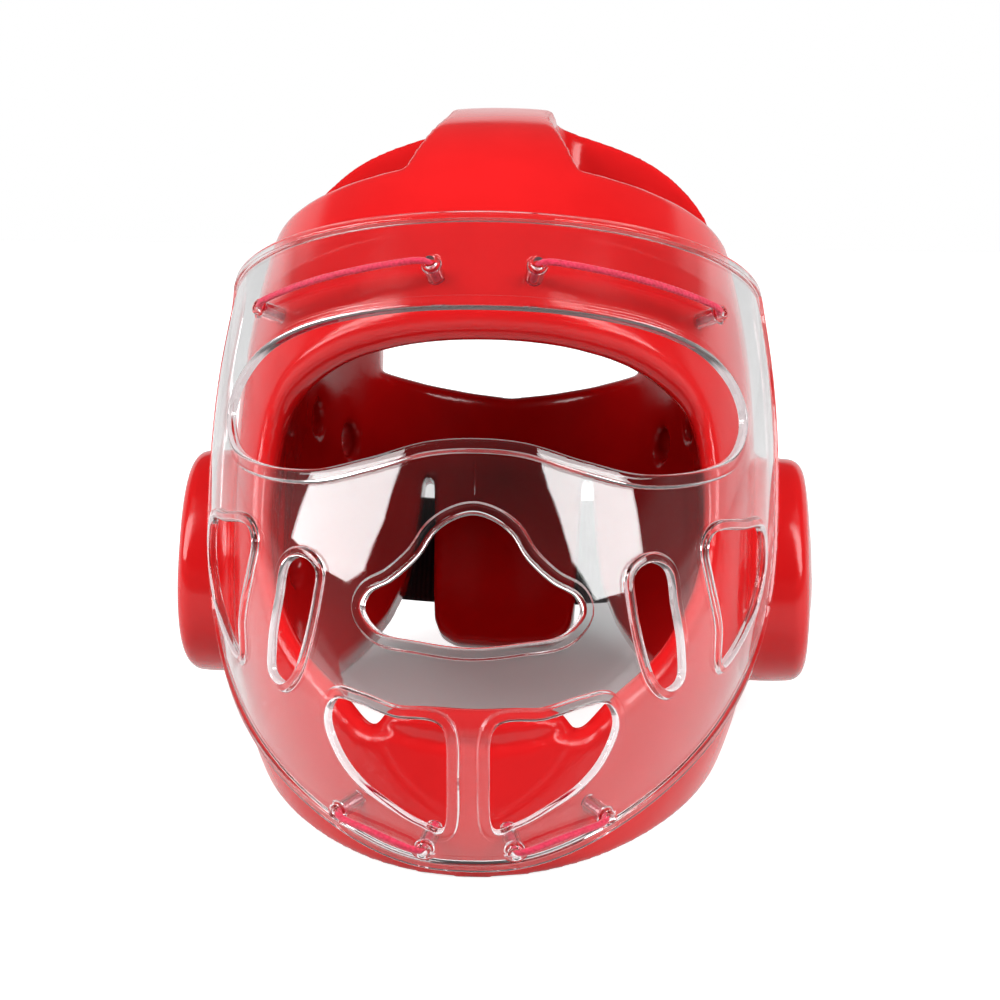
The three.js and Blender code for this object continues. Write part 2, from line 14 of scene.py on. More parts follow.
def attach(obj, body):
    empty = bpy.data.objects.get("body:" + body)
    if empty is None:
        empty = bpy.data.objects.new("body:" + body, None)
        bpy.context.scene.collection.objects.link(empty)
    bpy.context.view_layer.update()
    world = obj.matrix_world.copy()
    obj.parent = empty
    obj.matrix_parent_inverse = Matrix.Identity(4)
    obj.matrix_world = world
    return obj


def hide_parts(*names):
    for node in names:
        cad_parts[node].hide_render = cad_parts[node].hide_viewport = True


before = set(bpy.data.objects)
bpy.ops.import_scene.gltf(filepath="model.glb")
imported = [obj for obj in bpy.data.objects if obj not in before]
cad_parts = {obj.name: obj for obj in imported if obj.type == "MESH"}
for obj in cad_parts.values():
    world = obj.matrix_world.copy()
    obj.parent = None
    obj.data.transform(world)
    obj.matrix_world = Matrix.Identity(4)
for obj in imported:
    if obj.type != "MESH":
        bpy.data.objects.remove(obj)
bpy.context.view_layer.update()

# Stance: leaned back by this much, with the head's middle here in the row frame
LEAN = math.radians(30)
HEAD = np.array([0.0, 15.265, 84.0])

# Foam shell, repeated from the CAD model: z, half width, front and back of each section
FOAM = np.array([
    [158, 10, 10, 30], [152.5, 34, -8, 52], [141, 59, -42, 76], [121, 78, -79, 93],
    [93, 87, -102, 107], [55, 95, -113, 114], [10, 98, -117, 113], [-35, 97, -117, 103],
    [-75, 92, -114, 92], [-110, 79, -109, 82], [-140, 60, -100, 70], [-165, 36, -80, 50]], float)
FOAM_POWER, FOAM_SAMPLES = 2.15, 1200
WALL = 19.0
# Face opening, half of its outline: x, z
FACE_OPENING = [
    (0, 34.5), (30, 33.2), (54, 28.5), (70, 18.5), (76, 0), (75, -38), (63, -68), (46, -87),
    (34, -99), (29, -94), (0, -94)]
FACE_OPENING_DEPTH, FACE_OPENING_SPACING = -22.0, 3.0
# Crown strip, forehead band and rear arch
STRIP_BASE, STRIP_CROWN = 33.0, 19.5
STRIP_BASE_Y, STRIP_WAIST, STRIP_STRAIGHT = -93.0, -74.0, -50.0
BAND_TOP, BAND_FALL = 101.0, 0.11
ARCH_FRONT, ARCH_CORNER, ARCH_SWEEP = 24.0, 14.0, 40.0
BEYOND = 200.0  # past every side of the foam
# Rear opening, half of its outline: x, z along its low edge and its side, and its round top corner
REAR_LOW = [(0, 64.5), (48, 69.5), (48, 94)]
REAR_CORNER, REAR_TOP = (48, 114), (28, 114)
REAR_FLARE = 1.098
# Slits beside the tongue: z, and x of both sides
SLIT_SIDES = [
    (29, 31, 35), (0, 29.5, 37.5), (-18, 29, 40.5), (-32, 28, 46),
    (-38, 25.5, 49.5), (-42, 19, 52), (-43, -6, 52.5), (-70, -6, 72)]
REAR_CUT_START = 45.0
# Vents in the side walls: turn from the front in degrees, z
SIDE_VENTS = [(90, 44), (111, 40), (128, 37)]
VENT_HALF_WIDTH, VENT_HALF_HEIGHT, VENT_REACH = 4.5, 6.5, 40.0
# Ear pads: distance out, half depth and half height of each section
EAR = np.array([
    [78, 41, 41], [96, 40, 42], [109, 39, 42],
    [114.5, 37.5, 40.5], [117.5, 32, 34], [119.5, 18, 19]], float)
EAR_POWER, EAR_SAMPLES = 2.3, 200
EAR_Y, EAR_Z, EAR_LEAN = 16.0, -22.0, 0.02
EAR_HOLE, EAR_HOLE_START = 9.0, 60.0
# Crease under the rolled top edge of the chin
CREASE_Z, CREASE_RISE, CREASE_RISE_AT = -107.3, 5.0, 27.0
CREASE_DEPTH, CREASE_WIDTH, CREASE_SPAN = 1.5, 1.7, 48.0
CHIN_BACK = -60.0
# Rounded edges of the foam, the fillet round its ear pads and the blend over its crown
FACE_ROUND, REAR_ROUND, EAR_ROUND, HOLE_ROUND, RIM_ROUND = 8.5, 5.5, 3.0, 2.5, 2.0
EAR_FILLET, CROWN_BLEND = 5.0, 3.0
# Painted shade on the foam's inner face: where it ends in the foam's section, and the heights at which it
# fades in and out again
INNER_SHADE_EDGE, INNER_SHADE_FADE = 0.13, 0.1
INNER_SHADE_HEIGHTS, INNER_SHADE_SHARES = (-15.0, 30.0, 80.0, 105.0), (0, 1, 1, 0)
# Sampling of the foam: its box, the step, its smoothing and the share of the triangles that is kept
FOAM_LOW = np.array([-122.0, -124.0, -164.0])
FOAM_HIGH = np.array([122.0, 122.0, 164.0])
VOXEL, KEPT_TRIANGLES = 1.6, 0.66
SMOOTHING, SMOOTHING_STEPS = 0.5, 4
FIELD_REACH, LEAST_SLOPE = 60, 1e-4  # limits of a level turned into a distance

# Face mask: z, half width and front of each section, with the side edges on one plane
MASK = np.array([
    [80, 95, -114], [40, 101, -127], [0, 103, -137], [-40, 101, -140.5], [-80, 91, -139],
    [-110, 80, -132], [-135, 67, -118], [-150, 57, -103]], float)
MASK_SAMPLES = 800
MASK_SIDE, MASK_TURN = -25.0, 90
MASK_THICK = 1.9
MASK_TOP, MASK_TOP_FALL = 77.0, 4.0
MASK_CORNER, MASK_CORNER_TURN = 10.0, 7.0
MASK_CHIN, MASK_RISE, MASK_POWER = -148.0, 93.0, 2.4
# Holes of the mask: turn in degrees, z; those on the centre line by half of their outline
HOLES = {
    "eye": [
        (0, 39), (20, 38.5), (38, 36), (50, 31), (58, 22), (60.5, 13), (57, 0), (47, -10),
        (32, -16.5), (20, -14.5), (9, -10), (0, -9)],
    "nose": [
        (0, -35), (3.6, -36.7), (7, -41), (10.2, -49), (15.5, -56.5), (20.5, -60.5), (22, -65.5),
        (19, -73), (10, -77), (0, -79)],
    "mouth": [
        (6, -104.5), (17, -101), (25.5, -96), (31, -94), (34, -100), (32.5, -111.5), (28.5, -120),
        (21, -128), (13.5, -133.5), (7, -135.5), (5.3, -120)],
    "slot": [
        (35.5, -46), (39.6, -47.5), (42.7, -58.5), (47.3, -73), (49, -82), (46, -86), (41.5, -83),
        (36.8, -72.5), (33.2, -59), (32.2, -51)],
    "side": [
        (49.5, -37), (51, -31.5), (61, -26.5), (70, -23), (72.5, -30), (72.5, -46), (69, -61),
        (62.5, -73), (58.5, -61), (52, -46)],
}
# Raised lips round the mask's edge and holes: width, height
LIPS = {
    "border": (4.8, 1.5), "eye": (5.2, 1.5), "nose": (4.6, 1.5), "mouth": (4.5, 1.5),
    "slot": (4.0, 1.4), "side": (4.0, 1.4)}
LIP_STEP, LIP_ROUND, LIP_UNDER = 1.3, 1.3, 0.6
LIP_ROWS, LIP_UNDER_ROWS = 7, 5
MARGIN = 1.2  # level sheet kept beside a lip
EDGE_SPACING, SHEET_SPACING = 1.2, 3.2
SHEET_LOW, SHEET_HIGH, SHEET_RISE = (-166, -150), (166, 80), 0.866
# The mould's seam on the centre line: its runs in height, and across it x, lift and facing
SEAM_RUNS = [(-17, -28), (-86, -98), (-103, -141)]
SEAM = [(-0.5, 0, 0), (-0.25, 0.05, -0.22), (0, 0.08, 0), (0.25, 0.05, 0.22), (0.5, 0, 0)]
SEAM_STEP, SEAM_CLEAR = 2, 2
WELD = 1e-5  # nearer points of the sheet become one
FLAT = 105.0  # millimetres per radian on the flattened mask
# Small steps over which slopes are measured, and how far past the mask they are taken
TURN_STEP, MASK_RISE_STEP, FOAM_RISE_STEP = 0.01, 2.0, 0.5
MASK_PAST = 0.5

# Laces: turn in degrees and z of the posts at both ends
LACES = {
    "lace_top": [(54.5, 51), (10.7, 57)],
    "lace_bottom": [(39.8, -129), (14, -142)],
}
# Hollow posts: the tube, the collar on the mask, the end at the foam and the root behind the mask
POST_WALL, POST_BORE, POST_SIDES = 1.5, 1.7, 28
COLLAR, COLLAR_HEIGHT, COLLAR_STEP, COLLAR_ROUND = 1.5, 1.4, 0.5, 0.6
END_BEVEL, END_DROP, END_FLARE = 0.3, 0.2, 0.4
ROOT_DEPTH, ROOT_DROP, ROOT_FLARE = 0.8, 0.2, 0.1
DEPTH_REACH, DEPTH_STEP = 60, 0.1
# Cords: the route out of a post (bends along the mask, share of the lift), and shares of the way across
CORD_RADIUS, CORD_LIFT, CORD_BEND, CORD_TAIL = 1.2, 0.9, 3.3, 6
CORD_TURNS = [(0.2, 0.25), (1.0, 0.85), (2.2, 1.0)]
CORD_SPAN = (0.25, 0.4, 0.5, 0.6, 0.75)
CORD_STEP, CORD_SIDES, CORD_SAMPLES = 0.3, 24, 60
BRAID_STRANDS, BRAID_PITCH = 4, 7.0
BRAID_BASE, BRAID_BULGE = 0.93, 0.09

# Strap: its edges, first turn in degrees and thickness, then shares of the thickness and its ribs
STRAP_LOW, STRAP_TOP, STRAP_FROM = -21.0, 24.0, 124.0
STRAP_LIFT, STRAP_THICK, STRAP_ROUND = 0.8, 2.2, 1.2
STRAP_MIDDLE, STRAP_OUT, STRAP_IN = 0.45, 0.55, 0.4
STRAP_COLUMNS, STRAP_ROWS = 260, 64
RIB_HEIGHT, RIB_PITCH = 0.16, 2.6

# Colours, each as a pair that is mottled together, and the range of a texture that the pair spans
MOTTLE = (0.35, 0.65)
SKIN_REDS = ((0.62, 0.0085, 0.0095), (0.69, 0.0105, 0.0120))
# Darker reds painted on the foam's inner face as shade
INNER_SHADE_REDS = ((0.23, 0.0015, 0.0018), (0.29, 0.0020, 0.0024))
CORD_PINKS = ((0.56, 0.006, 0.040), (0.74, 0.022, 0.085))
ELASTIC_BLACKS = ((0.006, 0.006, 0.007), (0.02, 0.02, 0.022))
TRAPPED_DEPTH = 3.5  # bounces past which light counts as caught in a lip or a post

# Camera at the photograph's viewing angle: degrees, metres, and millimetres of sensor and lens
CAMERA_TURN, CAMERA_RISE, CAMERA_AWAY, CAMERA_ASIDE = 3, 18, 1.1, 0.0015
SENSOR, LENS = 36, 104.5
# Soft light from both sides, and the panels that the gloss shows of it: turn and rise in degrees
LIGHT_AWAY, LIGHT_SIZE, LIGHT_POWER = 1.5, (0.85, 0.72), 22
LAMPS = {"softbox_left": (-66, 40), "softbox_right": (64, 40)}
PANEL_AWAY, PANEL_GLOW = 8.0, 8.6
PANELS = {
    "panel_left": [
        (-93, 7), (-79, 11), (-68, 16), (-60.5, 22), (-53, 33.5), (-47.5, 48), (-66, 41), (-85, 26)],
    "panel_right": [
        (77, 26), (55, 44), (32, 54), (39, 43.5), (49, 29), (60, 17.5), (73, 11), (79, 10)],
}
# Brightness of the studio by the upward share of a direction, and the backward share where they meet
FRONT_STOPS = [(0, 0.3), (0.04, 0.12), (0.3, 0.12), (0.38, 0.03), (1, 0.06)]
BEHIND_STOPS = [(0, 0.45), (0.25, 0.45), (0.35, 0.08), (1, 0.05)]
BEHIND_RANGE, STUDIO_STRENGTH = (0.26, 0.38), 1.8
# Table: corners in metres, and its glow where it is seen through the mask and in the gloss
TABLE = [(-2, -2, 0), (2, -2, 0), (2, 0.8, 0), (-2, 0.8, 0)]
TABLE_SEEN_THROUGH, TABLE_MIRRORED = 0.2, 0.35


def spline(rows, count):
    """Catmull-Rom samples of a table's columns, evenly by row."""
    at = np.linspace(0, len(rows) - 1, count)
    first = np.clip(at.astype(int), 0, len(rows) - 2)
    t = (at - first)[:, None]
    a, b, c, d = (rows[np.clip(first + k, 0, len(rows) - 1)] for k in (-1, 0, 1, 2))
    return b + 0.5 * t * (c - a + t * (2 * a - 5 * b + 4 * c - d + t * (3 * (b - c) + d - a)))


def by_height(z, heights, values):
    """Values of a profile at heights z, for a profile listed from the top down."""
    up = np.maximum.accumulate(heights[::-1])
    return np.interp(z, up, values[::-1])


def smooth_outline(points, spacing):
    """A closed centripetal Catmull-Rom outline through the points, at an even spacing."""
    p1 = np.array(points, float)
    p0, p2, p3 = np.roll(p1, 1, 0), np.roll(p1, -1, 0), np.roll(p1, -2, 0)
    pairs = ((p0, p1), (p1, p2), (p2, p3))
    d0, d1, d2 = (np.sqrt(np.linalg.norm(b - a, axis=1))[:, None] for a, b in pairs)
    m1 = ((p1 - p0) / d0 - (p2 - p0) / (d0 + d1) + (p2 - p1) / d1) * d1
    m2 = ((p2 - p1) / d1 - (p3 - p1) / (d1 + d2) + (p3 - p2) / d2) * d1
    t = np.linspace(0, 1, 40, endpoint=False)[None, :, None]
    p1, p2, m1, m2 = (v[:, None, :] for v in (p1, p2, m1, m2))
    curve = ((2 * t**3 - 3 * t**2 + 1) * p1 + (t**3 - 2 * t**2 + t) * m1
             + (3 * t**2 - 2 * t**3) * p2 + (t**3 - t**2) * m2).reshape(-1, 2)
    return even_outline(curve, spacing)


def even_outline(curve, spacing):
    """A closed polyline's points at an even spacing."""
    closed = np.vstack([curve, curve[:1]])
    along = np.concatenate([[0], np.cumsum(np.linalg.norm(np.diff(closed, axis=0), axis=1))])
    count = max(12, int(round(along[-1] / spacing)))
    at = np.linspace(0, along[-1], count, endpoint=False)
    return np.column_stack([np.interp(at, along, closed[:, k]) for k in (0, 1)])


def both_halves(half):
    """A half outline on the positive side and its mirror image."""
    return list(half) + [(-x, y) for x, y in half[-2:0:-1]]


def polygon_distance(x, y, outline):
    """Signed distance in the plane to a closed outline, negative inside."""
    best = np.full(np.broadcast(x, y).shape, 1e9)
    inside = np.zeros(best.shape, bool)
    for (ax, ay), (bx, by) in zip(outline, np.roll(outline, -1, axis=0)):
        ex, ey = bx - ax, by - ay
        t = np.clip(((x - ax) * ex + (y - ay) * ey) / max(ex * ex + ey * ey, 1e-12), 0, 1)
        best = np.minimum(best, (x - ax - t * ex) ** 2 + (y - ay - t * ey) ** 2)
        if ay != by:
            inside ^= ((ay > y) != (by > y)) & (x < ex * (y - ay) / ey + ax)
    return np.where(inside, -1, 1) * np.sqrt(best)


def quadratic(a, control, b, count=10):
    """Points of a quadratic curve from a to b, without a."""
    t = np.linspace(0, 1, count + 1)[1:, None]
    a, control, b = (np.array(p, float) for p in (a, control, b))
    return ((1 - t) ** 2 * a + 2 * t * (1 - t) * control + t**2 * b).tolist()


def round_both(a, b, radius):
    """What is inside both shapes, with a rounded edge."""
    corner = np.hypot(np.maximum(radius + a, 0), np.maximum(radius + b, 0))
    return np.minimum(-radius, np.maximum(a, b)) + corner


def round_either(a, b, radius):
    """What is inside either shape, with a fillet between them."""
    corner = np.hypot(np.maximum(radius - a, 0), np.maximum(radius - b, 0))
    return np.maximum(radius, np.minimum(a, b)) - corner


def blend_both(a, b, width):
    """What is inside both shapes, where they meet at a shallow angle."""
    return np.maximum(a, b) + np.maximum(width - np.abs(a - b), 0) ** 2 / (4 * width)


def distance(level):
    """A level function as a distance from its zero surface."""
    slope = np.sqrt(sum(part * part for part in np.gradient(level, VOXEL)))
    return np.clip(level / np.maximum(slope, LEAST_SLOPE), -FIELD_REACH, FIELD_REACH)


def superellipse(across, ahead, power):
    """A level function of a rounded oval, zero on its outline and negative inside."""
    return (np.abs(across) ** power + np.abs(ahead) ** power) ** (1 / power) - 1


def leaned(vectors):
    """Vectors of the worn frame, leaned back with the head guard."""
    x, y, z = np.asarray(vectors, float).T
    return np.column_stack([
        x, y * math.cos(LEAN) + z * math.sin(LEAN), z * math.cos(LEAN) - y * math.sin(LEAN)])


def to_row(points):
    """Points of the worn frame in millimetres, in the row frame in metres."""
    return (leaned(points) + HEAD) / 1000


def surface_nets(field, corner, step):
    """The zero surface of a sampled field as points and quads facing out."""
    inside = field < 0
    shape = np.array(field.shape) - 1
    corners = [(i, j, k) for i in (0, 1) for j in (0, 1) for k in (0, 1)]

    def part(values, c):
        return values[c[0]:c[0] + shape[0], c[1]:c[1] + shape[1], c[2]:c[2] + shape[2]]

    count = sum(part(inside, c).astype(np.int8) for c in corners)
    cells = np.argwhere((count > 0) & (count < len(corners)))
    number = np.full(shape, -1, np.int64)
    number[tuple(cells.T)] = np.arange(len(cells))
    total = np.zeros((len(cells), 3))
    hits = np.zeros(len(cells))
    for a in corners:
        for axis in range(3):
            if a[axis]:
                continue
            b = list(a)
            b[axis] = 1
            fa = field[tuple((cells + a).T)]
            fb = field[tuple((cells + b).T)]
            cross = (fa < 0) != (fb < 0)
            t = np.where(cross, fa / np.where(cross, fa - fb, 1), 0)
            spot = np.tile(np.array(a, float), (len(cells), 1))
            spot[:, axis] = t
            total += spot * cross[:, None]
            hits += cross
    points = corner + step * (cells + total / hits[:, None])
    quads = []
    for axis in range(3):
        u, v = (axis + 1) % 3, (axis + 2) % 3
        first = [slice(None)] * 3
        second = [slice(None)] * 3
        first[axis], second[axis] = slice(0, -1), slice(1, None)
        flip = inside[tuple(first)] != inside[tuple(second)]
        at = np.argwhere(flip)
        at = at[(at[:, u] > 0) & (at[:, v] > 0) & (at[:, u] < shape[u]) & (at[:, v] < shape[v])]
        du, dv = np.eye(3, dtype=int)[u], np.eye(3, dtype=int)[v]
        ring = np.column_stack([number[tuple((at - s).T)] for s in (du + dv, dv, 0 * du, du)])
        outward = inside[tuple(at.T)]
        quads.append(np.where(outward[:, None], ring, ring[:, ::-1]))
    return points, np.vstack(quads)


def foam_columns(z, inward):
    """Half width, front and back of the foam at heights z, on its outer face or further in."""
    table = spline(FOAM, FOAM_SAMPLES)
    height, half, front, back = table.T
    dz, dh, df, db = np.gradient(table, axis=0).T
    columns = []
    for value, slope, sign in ((half, dh, 1), (front, -df, -1), (back, db, 1)):
        size = np.hypot(dz, slope)
        columns.append(by_height(z, height - inward * slope / size, value + sign * inward * dz / size))
    return columns


def foam_level(x, y, z, inward):
    """A level function of the foam's sections, zero on its outer face or further in."""
    half, front, back = foam_columns(z, inward)
    return superellipse(x / half, (y - (front + back) / 2) / ((back - front) / 2), FOAM_POWER)


def foam_face(turn, z):
    """Points of the foam's outer face by turn in radians and height."""
    half, front, back = foam_columns(z, 0)
    across = np.sign(np.sin(turn)) * np.abs(np.sin(turn)) ** (2 / FOAM_POWER)
    ahead = np.sign(np.cos(turn)) * np.abs(np.cos(turn)) ** (2 / FOAM_POWER)
    return np.column_stack([half * across, (front + back) / 2 - ahead * (back - front) / 2, z])


def foam_body(x, y, z, inward):
    """Signed distance to the closed form of the foam, on its outer face or further in."""
    return blend_both(distance(foam_level(x, y, z, inward)), z - (FOAM[0, 0] - inward), CROWN_BLEND)


def chin_crease(x, y, z):
    """Depth of the crease under the rolled top edge of the chin."""
    height = CREASE_Z + CREASE_RISE * (x / CREASE_RISE_AT) ** 2
    fade = np.exp(-((z - height) / CREASE_WIDTH) ** 2 - (x / CREASE_SPAN) ** 4)
    return np.where(y < CHIN_BACK, CREASE_DEPTH, 0) * fade


def ear_pads(x, y, z):
    """Signed distance to both ear pads."""
    out = np.abs(x) + EAR_LEAN * (z - EAR_Z)
    ear = spline(EAR, EAR_SAMPLES)
    deep, tall = (np.interp(out, ear[:, 0], ear[:, k]) for k in (1, 2))
    pad = distance(superellipse((y - EAR_Y) / deep, (z - EAR_Z) / tall, EAR_POWER))
    return round_both(pad, out - EAR[-1, 0], EAR_ROUND)


def ear_holes(x, y, z):
    """Signed distance to the holes through the ear pads."""
    return np.maximum(np.hypot(y - EAR_Y, z - EAR_Z) - EAR_HOLE, EAR_HOLE_START - np.abs(x))


def face_cut(x, y, z):
    """Signed distance to the face opening."""
    outline = smooth_outline(both_halves(FACE_OPENING), FACE_OPENING_SPACING)
    opening = polygon_distance(x[:, 0, :], z[:, 0, :], outline)
    return np.maximum(opening[:, None, :], y - FACE_OPENING_DEPTH)


def crown_cut(x, y, z):
    """Signed distance to the openings beside the crown strip, from the band back to the arch."""
    edge = [(STRIP_BASE, -BEYOND), (STRIP_BASE, STRIP_BASE_Y)]
    edge += quadratic(edge[-1], (STRIP_CROWN, STRIP_WAIST), (STRIP_CROWN, STRIP_STRAIGHT))
    edge += [(STRIP_CROWN, ARCH_FRONT - ARCH_CORNER)]
    edge += quadratic(edge[-1], (STRIP_CROWN, ARCH_FRONT), (STRIP_CROWN + ARCH_CORNER, ARCH_FRONT))
    edge += quadratic(edge[-1], (BEYOND / 2, ARCH_FRONT), (BEYOND, ARCH_FRONT - ARCH_SWEEP))
    beside = np.abs(x)
    crown = polygon_distance(beside[:, :, 0], y[:, :, 0], np.array(edge + [(BEYOND, -BEYOND)]))
    band = BAND_TOP - BAND_FALL * (beside - STRIP_BASE) - z
    return np.maximum(crown[:, :, None], band)


def rear_cut(x, y, z, outline):
    """Signed distance to a cut with this outline through the back of the foam."""
    window = polygon_distance(x[:, 0, :], z[:, 0, :], outline)
    return np.maximum(window[:, None, :], REAR_CUT_START - y)


def rear_outline():
    half = REAR_LOW + quadratic(REAR_LOW[-1], REAR_CORNER, REAR_TOP)
    return np.array(half + [(-a, b) for a, b in half[:0:-1]], float) * (REAR_FLARE, 1)


def slit_outline():
    inner = [(side, z) for z, side, _ in SLIT_SIDES]
    outer = [(side, z) for z, _, side in SLIT_SIDES]
    return np.array(inner + outer[::-1], float)


def vent_cut(x, y, z, turn, height):
    """Signed distance to the oval vents at a turn and a height on both sides."""
    angle = math.radians(turn)
    px, py, _ = foam_face(np.array([angle]), np.array([height]))[0]
    beside, behind = np.abs(x) - px, y - py
    across = beside * -math.cos(angle) - behind * math.sin(angle)
    oval = np.hypot(across / VENT_HALF_WIDTH, (z - height) / VENT_HALF_HEIGHT) - 1
    through = beside * math.sin(angle) - behind * math.cos(angle)
    return np.maximum(oval * VENT_HALF_WIDTH, np.abs(through) - VENT_REACH)


def foam_field(x, y, z):
    """Signed distance to the foam shell, which ends at the table that it stands on."""
    outer = foam_body(x, y, z, 0) + chin_crease(x, y, z)
    solid = round_either(outer, ear_pads(x, y, z), EAR_FILLET)
    over_table = z * math.cos(LEAN) - y * math.sin(LEAN) + HEAD[2]
    cuts = [
        (foam_body(x, y, z, WALL), RIM_ROUND),
        (face_cut(x, y, z), FACE_ROUND),
        (crown_cut(x, y, z), RIM_ROUND),
        (rear_cut(x, y, z, rear_outline()), REAR_ROUND),
        (rear_cut(np.abs(x), y, z, slit_outline()), HOLE_ROUND)]
    cuts += [(vent_cut(x, y, z, turn, height), HOLE_ROUND) for turn, height in SIDE_VENTS]
    cuts += [(ear_holes(x, y, z), EAR_ROUND), (over_table, RIM_ROUND)]
    for cut, rounding in cuts:
        solid = round_both(solid, -cut, rounding)
    return solid


def add_object(name, data):
    obj = bpy.data.objects.new(name, data)
    bpy.context.scene.collection.objects.link(obj)
    return obj


def new_mesh(name, points, faces, material):
    """A smooth mesh object of points in the row frame."""
    mesh = bpy.data.meshes.new(name)
    mesh.from_pydata([tuple(p) for p in points], [], [tuple(int(i) for i in f) for f in faces])
    mesh.validate()
    mesh.polygons.foreach_set("use_smooth", np.ones(len(mesh.polygons), bool))
    mesh.materials.append(material)
    return add_object(name, mesh)


def quad_rows(a, b, c, d):
    """Quads whose corners stand in four arrays."""
    return np.stack([a, b, c, d], -1).reshape(-1, 4).tolist()


def painted_inner_shade_share(points):
    """How much painted shade darkens the foam's inner face at points, 0 outside to 1 inside."""
    x, y, z = points.T
    inside = np.clip((INNER_SHADE_EDGE - foam_level(x, y, z, WALL)) / INNER_SHADE_FADE, 0, 1)
    return inside * np.interp(z, INNER_SHADE_HEIGHTS, INNER_SHADE_SHARES)


def make_foam(material):
    """The foam shell, polygonised from its field with rounded edges."""
    size = np.ceil((FOAM_HIGH - FOAM_LOW) / VOXEL).astype(int)
    steps = (FOAM_LOW[k] + VOXEL * np.arange(size[k] + 1) for k in range(3))
    x, y, z = np.meshgrid(*steps, indexing="ij")
    points, quads = surface_nets(foam_field(x, y, z), FOAM_LOW, VOXEL)
    obj = new_mesh("foam_shell_skin", to_row(points), quads, material)
    # Painted shade: a share per point that darkens the foam's inner face
    painted_inner_shade = obj.data.attributes.new("painted_inner_shade", "FLOAT", "POINT")
    painted_inner_shade.data.foreach_set("value", painted_inner_shade_share(points).astype(np.float32))
    smooth = obj.modifiers.new("smooth", "SMOOTH")
    smooth.factor, smooth.iterations = SMOOTHING, SMOOTHING_STEPS
    obj.modifiers.new("thin", "DECIMATE").ratio = KEPT_TRIANGLES
    return obj


def mask_point(turn, z):
    """The mask's middle surface by turn in radians and height."""
    table = spline(MASK, MASK_SAMPLES)
    half, front = (by_height(z, table[:, 0], table[:, k]) for k in (1, 2))
    return np.column_stack([half * np.sin(turn), MASK_SIDE + (front - MASK_SIDE) * np.cos(turn), z])


def mask_slopes(turn, z):
    """Steps on the mask per radian of turn and per millimetre of height."""
    turn = np.atleast_1d(turn)
    z = np.clip(np.atleast_1d(z), MASK_CHIN - MASK_PAST, MASK_TOP + MASK_PAST)
    around = mask_point(turn + TURN_STEP, z) - mask_point(turn - TURN_STEP, z)
    up = mask_point(turn, z + MASK_RISE_STEP) - mask_point(turn, z - MASK_RISE_STEP)
    return around / (2 * TURN_STEP), up / (2 * MASK_RISE_STEP)


def unit(vectors):
    return vectors / np.linalg.norm(vectors, axis=-1, keepdims=True)


def mask_normal(turn, z):
    return unit(np.cross(*mask_slopes(turn, z)))


def mask_offset(turn, z, outward):
    turn, z = np.atleast_1d(turn), np.atleast_1d(z)
    return mask_point(turn, z) + mask_normal(turn, z) * np.reshape(outward, (-1, 1))


def away_from_edge(outline):
    """On the flattened mask, a step of a real millimetre away from an edge at each of its points."""
    around, up = mask_slopes(outline[:, 0] / FLAT, outline[:, 1])
    scale = np.column_stack([np.linalg.norm(around, axis=1) / FLAT, np.linalg.norm(up, axis=1)])
    along = unit((np.roll(outline, -1, 0) - np.roll(outline, 1, 0)) * scale)
    return np.column_stack([along[:, 1], -along[:, 0]]) / scale


def turning(outline):
    """1 for an outline that runs counter-clockwise, -1 for one that runs clockwise."""
    x, y = outline.T
    return 1 if np.sum(x * np.roll(y, -1) - y * np.roll(x, -1)) > 0 else -1


def mask_border():
    """The mask's outer outline on the flattened mask, clockwise."""
    turn = np.linspace(-MASK_TURN, MASK_TURN, 4 * MASK_TURN + 1)
    inward = np.clip((MASK_TURN - np.abs(turn)) / MASK_CORNER_TURN, 0, 1)
    corner = 1 - np.sqrt(1 - (1 - inward) ** 2)
    top = MASK_TOP - MASK_TOP_FALL * (turn / MASK_TURN) ** 2 - MASK_CORNER * corner
    low = MASK_CHIN + MASK_RISE * np.abs(turn / MASK_TURN) ** MASK_POWER + MASK_CORNER * corner
    flat = np.radians(turn) * FLAT
    outline = np.vstack([np.column_stack([flat, low]), np.column_stack([flat, top])[::-1]])
    outline = even_outline(outline, EDGE_SPACING)
    return outline[::-turning(outline)]


def lip_top(width, height, step, radius):
    """The outer face of a raised lip: distance from its edge, offset from the sheet's middle, facing.

    The facing is the angle of the face from straight out of the mask, positive away from the edge.
    """
    half = MASK_THICK / 2
    rows = [(width + MARGIN, half, 0.0)]
    for t in np.linspace(0, 1, LIP_ROWS):
        slope = 6 * height * t * (1 - t) / step
        rows.append((width - step * t, half + height * (3 - 2 * t) * t * t, math.atan(slope)))
    for a in np.linspace(0, math.pi / 2, LIP_ROWS):
        rows.append((radius * (1 - math.sin(a)), half + height - radius * (1 - math.cos(a)), -a))
    return rows


def lip(width, height):
    """The whole section of a lip, over its top and round to the inner face of the mask."""
    inner = -MASK_THICK / 2
    rows = lip_top(width, height, LIP_STEP, min(LIP_ROUND, height))
    for a in np.linspace(0, math.pi / 2, LIP_UNDER_ROWS):
        under = LIP_UNDER * (1 - math.sin(a)) + inner
        rows.append((LIP_UNDER * (1 - math.cos(a)), under, -math.pi / 2 - a))
    return rows + [(width + MARGIN, inner, -math.pi)]


def post(foot):
    """The section of a hollow post: a collar on the mask, and a tube round the bore down to the foam."""
    inner, quarter = -MASK_THICK / 2, math.pi / 2
    return lip_top(COLLAR, COLLAR_HEIGHT, COLLAR_STEP, COLLAR_ROUND) + [
        (0, inner, -quarter),
        (0, -foot, -quarter),
        (END_BEVEL, -foot - END_DROP, -math.pi),
        (POST_WALL, -foot - END_DROP, math.pi),
        (POST_WALL + END_FLARE, -foot, quarter),
        (POST_WALL - ROOT_FLARE, inner - ROOT_DEPTH, quarter),
        (POST_WALL + ROOT_FLARE, inner - ROOT_DROP, 1.5 * quarter),
        (COLLAR + MARGIN, inner, math.pi)]


